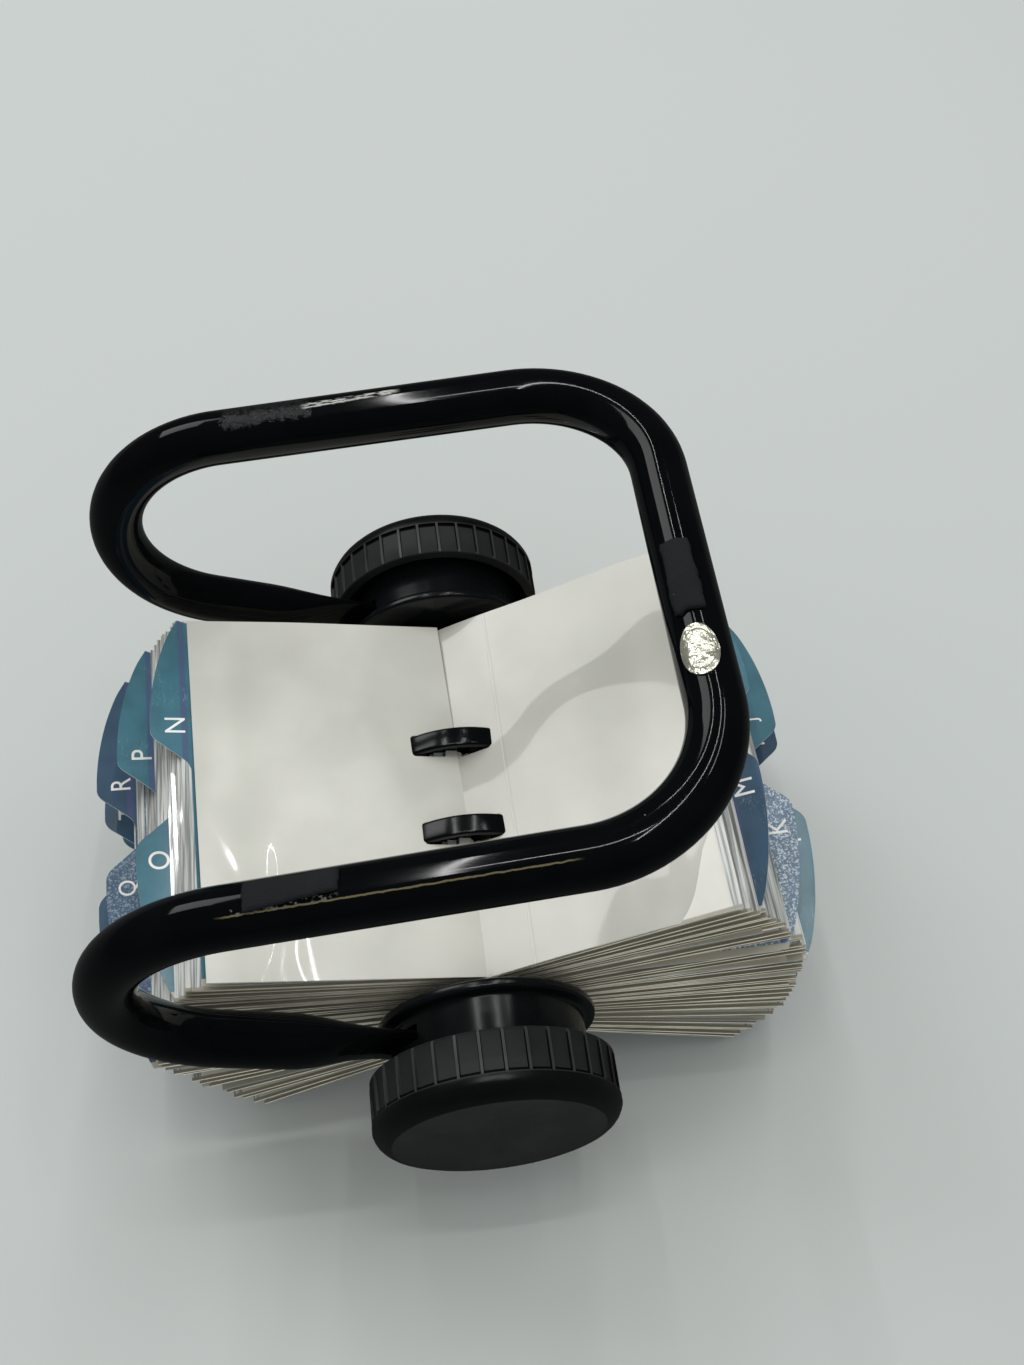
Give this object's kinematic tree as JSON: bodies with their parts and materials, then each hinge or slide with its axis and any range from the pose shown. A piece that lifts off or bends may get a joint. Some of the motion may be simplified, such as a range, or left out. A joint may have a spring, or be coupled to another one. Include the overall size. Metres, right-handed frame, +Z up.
{
  "type": "rotary card file",
  "caption": "Open rotary card file lying upside down: bent tube stand, knobbed drum with two card rails, lettered index guides and card sleeves fanned to both sides.",
  "frame": {"origin": "middle of the footprint, on the surface that the lowest card edges rest on", "axes": "+Y along the axle towards the back knob, +Z up as pictured (the stand's base loop is on top), +X towards the crossbar"},
  "size_m": [0.1818, 0.1692, 0.155],
  "materials": {
    "gloss_black": "gloss black powder paint",
    "collar_black": "glossy black",
    "knob_charcoal": "matte charcoal, fine grain",
    "drum_black": "semi-gloss black",
    "pad_grey": "matte foam",
    "foil": "bare foil, no text",
    "steel": "bright",
    "nylon": "natural nylon",
    "fibre": "vulcanised fibre",
    "sleeve_clear": "clear sleeves over white cards",
    "tab_teal": "laminated teal card",
    "tab_navy": "laminated navy card"
  },
  "bodies": {
    "stand": {"frame_tube": "gloss_black", "collar_front": "collar_black", "collar_back": "collar_black", "bush_front": "nylon", "bush_back": "nylon", "foot_pad_front": "pad_grey", "foot_pad_cross": "pad_grey", "oval_label": "foil"},
    "rotor": {"shaft": "steel", "drum_core": "drum_black", "rail_front": "drum_black", "rail_back": "drum_black", "knob_front": "knob_charcoal", "knob_back": "knob_charcoal", "friction_washer": "fibre", "clutch_spring": "steel", "guide_xyz": "tab_teal", "sleeves_xyz": "sleeve_clear", "guide_a": "tab_teal"},
    "page_left": {"page_left": "sleeve_clear"},
    "page_right": {"page_right": "sleeve_clear"},
    "leaf_n": {"guide_n": "tab_teal", "sleeves_n": "sleeve_clear"},
    "leaf_o": {"guide_o": "tab_teal", "sleeves_o": "sleeve_clear"},
    "leaf_p": {"guide_p": "tab_teal", "sleeves_p": "sleeve_clear"},
    "leaf_q": {"guide_q": "tab_teal", "sleeves_q": "sleeve_clear"},
    "leaf_r": {"guide_r": "tab_navy", "sleeves_r": "sleeve_clear"},
    "leaf_s": {"guide_s": "tab_navy", "sleeves_s": "sleeve_clear"},
    "leaf_t": {"guide_t": "tab_navy", "sleeves_t": "sleeve_clear"},
    "leaf_u": {"guide_u": "tab_navy"},
    "leaf_v": {"guide_v": "tab_teal", "sleeves_v": "sleeve_clear"},
    "leaf_w": {"guide_w": "tab_teal"},
    "leaves_m_right": {"sleeves_m_right": "sleeve_clear"},
    "leaf_m": {"guide_m": "tab_navy", "sleeves_l": "sleeve_clear"},
    "leaf_l": {"guide_l": "tab_teal", "sleeves_k": "sleeve_clear"},
    "leaf_k": {"guide_k": "tab_teal", "sleeves_j": "sleeve_clear"},
    "leaf_j": {"guide_j": "tab_teal"},
    "leaf_i": {"guide_i": "tab_teal", "sleeves_h": "sleeve_clear"},
    "leaf_h": {"guide_h": "tab_navy", "sleeves_g": "sleeve_clear"},
    "leaf_g": {"guide_g": "tab_navy", "sleeves_f": "sleeve_clear"},
    "leaf_f": {"guide_f": "tab_navy", "sleeves_e": "sleeve_clear"},
    "leaf_e": {"guide_e": "tab_teal"},
    "leaf_d": {"guide_d": "tab_teal"},
    "leaf_c": {"guide_c": "tab_teal", "sleeves_b": "sleeve_clear"},
    "leaf_b": {"guide_b": "tab_teal"}
  },
  "joints": [
    {"name": "drum_spin", "type": "hinge", "parent": "stand", "child": "rotor", "pos_m": [0.00242, 0, 0.04944], "axis": [0, 1, 0], "continuous": true},
    {"name": "left_fan", "type": "hinge", "parent": "rotor", "child": "leaf_n", "pos_m": [0.00049, 0, 0.06579], "axis": [0, 1, 0], "range_deg": [0, 30]},
    {"name": "leaf_o_lift", "type": "hinge", "parent": "rotor", "child": "leaf_o", "pos_m": [-0.00391, 0, 0.0624], "axis": [0, 1, 0], "range_deg": [0, 26.67]},
    {"name": "leaf_p_lift", "type": "hinge", "parent": "rotor", "child": "leaf_p", "pos_m": [-0.00682, 0, 0.05853], "axis": [0, 1, 0], "range_deg": [0, 23.14]},
    {"name": "leaf_q_lift", "type": "hinge", "parent": "rotor", "child": "leaf_q", "pos_m": [-0.01074, 0, 0.05475], "axis": [0, 1, 0], "range_deg": [0, 19.61]},
    {"name": "leaf_r_lift", "type": "hinge", "parent": "rotor", "child": "leaf_r", "pos_m": [-0.01396, 0, 0.05065], "axis": [0, 1, 0], "range_deg": [0, 16.08]},
    {"name": "leaf_s_lift", "type": "hinge", "parent": "rotor", "child": "leaf_s", "pos_m": [-0.01501, 0, 0.04616], "axis": [0, 1, 0], "range_deg": [0, 12.55]},
    {"name": "leaf_t_lift", "type": "hinge", "parent": "rotor", "child": "leaf_t", "pos_m": [-0.01379, 0, 0.0415], "axis": [0, 1, 0], "range_deg": [0, 9.02]},
    {"name": "leaf_u_lift", "type": "hinge", "parent": "rotor", "child": "leaf_u", "pos_m": [-0.01127, 0, 0.03687], "axis": [0, 1, 0], "range_deg": [0, 5.5]},
    {"name": "leaf_v_lift", "type": "hinge", "parent": "rotor", "child": "leaf_v", "pos_m": [-0.01039, 0, 0.03573], "axis": [0, 1, 0], "range_deg": [0, 4.61]},
    {"name": "leaf_w_lift", "type": "hinge", "parent": "rotor", "child": "leaf_w", "pos_m": [-0.00493, 0, 0.03237], "axis": [0, 1, 0], "range_deg": [0, 1.08]},
    {"name": "page_left_flip", "type": "hinge", "parent": "leaf_n", "child": "page_left", "pos_m": [0.00192, 0, 0.06653], "axis": [0, 1, 0], "range_deg": [0, 45]},
    {"name": "right_fan", "type": "hinge", "parent": "rotor", "child": "leaves_m_right", "pos_m": [0.00292, 0, 0.06581], "axis": [0, -1, 0], "range_deg": [0, 30]},
    {"name": "leaf_m_lift", "type": "hinge", "parent": "rotor", "child": "leaf_m", "pos_m": [0.00657, 0, 0.06403], "axis": [0, -1, 0], "range_deg": [0, 27.89]},
    {"name": "leaf_l_lift", "type": "hinge", "parent": "rotor", "child": "leaf_l", "pos_m": [0.01024, 0, 0.06101], "axis": [0, -1, 0], "range_deg": [0, 24.82]},
    {"name": "leaf_k_lift", "type": "hinge", "parent": "rotor", "child": "leaf_k", "pos_m": [0.01277, 0, 0.05753], "axis": [0, -1, 0], "range_deg": [0, 21.74]},
    {"name": "leaf_j_lift", "type": "hinge", "parent": "rotor", "child": "leaf_j", "pos_m": [0.01428, 0, 0.05377], "axis": [0, -1, 0], "range_deg": [0, 18.66]},
    {"name": "leaf_i_lift", "type": "hinge", "parent": "rotor", "child": "leaf_i", "pos_m": [0.0145, 0, 0.05281], "axis": [0, -1, 0], "range_deg": [0, 17.89]},
    {"name": "leaf_h_lift", "type": "hinge", "parent": "rotor", "child": "leaf_h", "pos_m": [0.0148, 0, 0.04891], "axis": [0, -1, 0], "range_deg": [0, 14.82]},
    {"name": "leaf_g_lift", "type": "hinge", "parent": "rotor", "child": "leaf_g", "pos_m": [0.01417, 0, 0.04506], "axis": [0, -1, 0], "range_deg": [0, 11.74]},
    {"name": "leaf_f_lift", "type": "hinge", "parent": "rotor", "child": "leaf_f", "pos_m": [0.01258, 0, 0.04139], "axis": [0, -1, 0], "range_deg": [0, 8.66]},
    {"name": "leaf_e_lift", "type": "hinge", "parent": "rotor", "child": "leaf_e", "pos_m": [0.01002, 0, 0.03805], "axis": [0, -1, 0], "range_deg": [0, 5.58]},
    {"name": "leaf_d_lift", "type": "hinge", "parent": "rotor", "child": "leaf_d", "pos_m": [0.00922, 0, 0.03728], "axis": [0, -1, 0], "range_deg": [0, 4.81]},
    {"name": "leaf_c_lift", "type": "hinge", "parent": "rotor", "child": "leaf_c", "pos_m": [0.00836, 0, 0.03656], "axis": [0, -1, 0], "range_deg": [0, 4.05]},
    {"name": "leaf_b_lift", "type": "hinge", "parent": "rotor", "child": "leaf_b", "pos_m": [0.00417, 0, 0.03407], "axis": [0, -1, 0], "range_deg": [0, 0.97]},
    {"name": "page_right_flip", "type": "hinge", "parent": "leaves_m_right", "child": "page_right", "pos_m": [0.00292, 0, 0.06581], "axis": [0, -1, 0], "range_deg": [0, 35]}
  ],
  "couplings": [
    {"joint": "leaf_o_lift", "follows": "left_fan", "ratio": 0.8824},
    {"joint": "leaf_p_lift", "follows": "left_fan", "ratio": 0.7647},
    {"joint": "leaf_q_lift", "follows": "left_fan", "ratio": 0.6471},
    {"joint": "leaf_r_lift", "follows": "left_fan", "ratio": 0.5294},
    {"joint": "leaf_s_lift", "follows": "left_fan", "ratio": 0.4118},
    {"joint": "leaf_t_lift", "follows": "left_fan", "ratio": 0.2941},
    {"joint": "leaf_u_lift", "follows": "left_fan", "ratio": 0.1765},
    {"joint": "leaf_v_lift", "follows": "left_fan", "ratio": 0.1471},
    {"joint": "leaf_w_lift", "follows": "left_fan", "ratio": 0.0294},
    {"joint": "leaf_m_lift", "follows": "right_fan", "ratio": 0.9231},
    {"joint": "leaf_l_lift", "follows": "right_fan", "ratio": 0.8205},
    {"joint": "leaf_k_lift", "follows": "right_fan", "ratio": 0.7179},
    {"joint": "leaf_j_lift", "follows": "right_fan", "ratio": 0.6154},
    {"joint": "leaf_i_lift", "follows": "right_fan", "ratio": 0.5897},
    {"joint": "leaf_h_lift", "follows": "right_fan", "ratio": 0.4872},
    {"joint": "leaf_g_lift", "follows": "right_fan", "ratio": 0.3846},
    {"joint": "leaf_f_lift", "follows": "right_fan", "ratio": 0.2821},
    {"joint": "leaf_e_lift", "follows": "right_fan", "ratio": 0.1795},
    {"joint": "leaf_d_lift", "follows": "right_fan", "ratio": 0.1538},
    {"joint": "leaf_c_lift", "follows": "right_fan", "ratio": 0.1282},
    {"joint": "leaf_b_lift", "follows": "right_fan", "ratio": 0.0256}
  ]
}
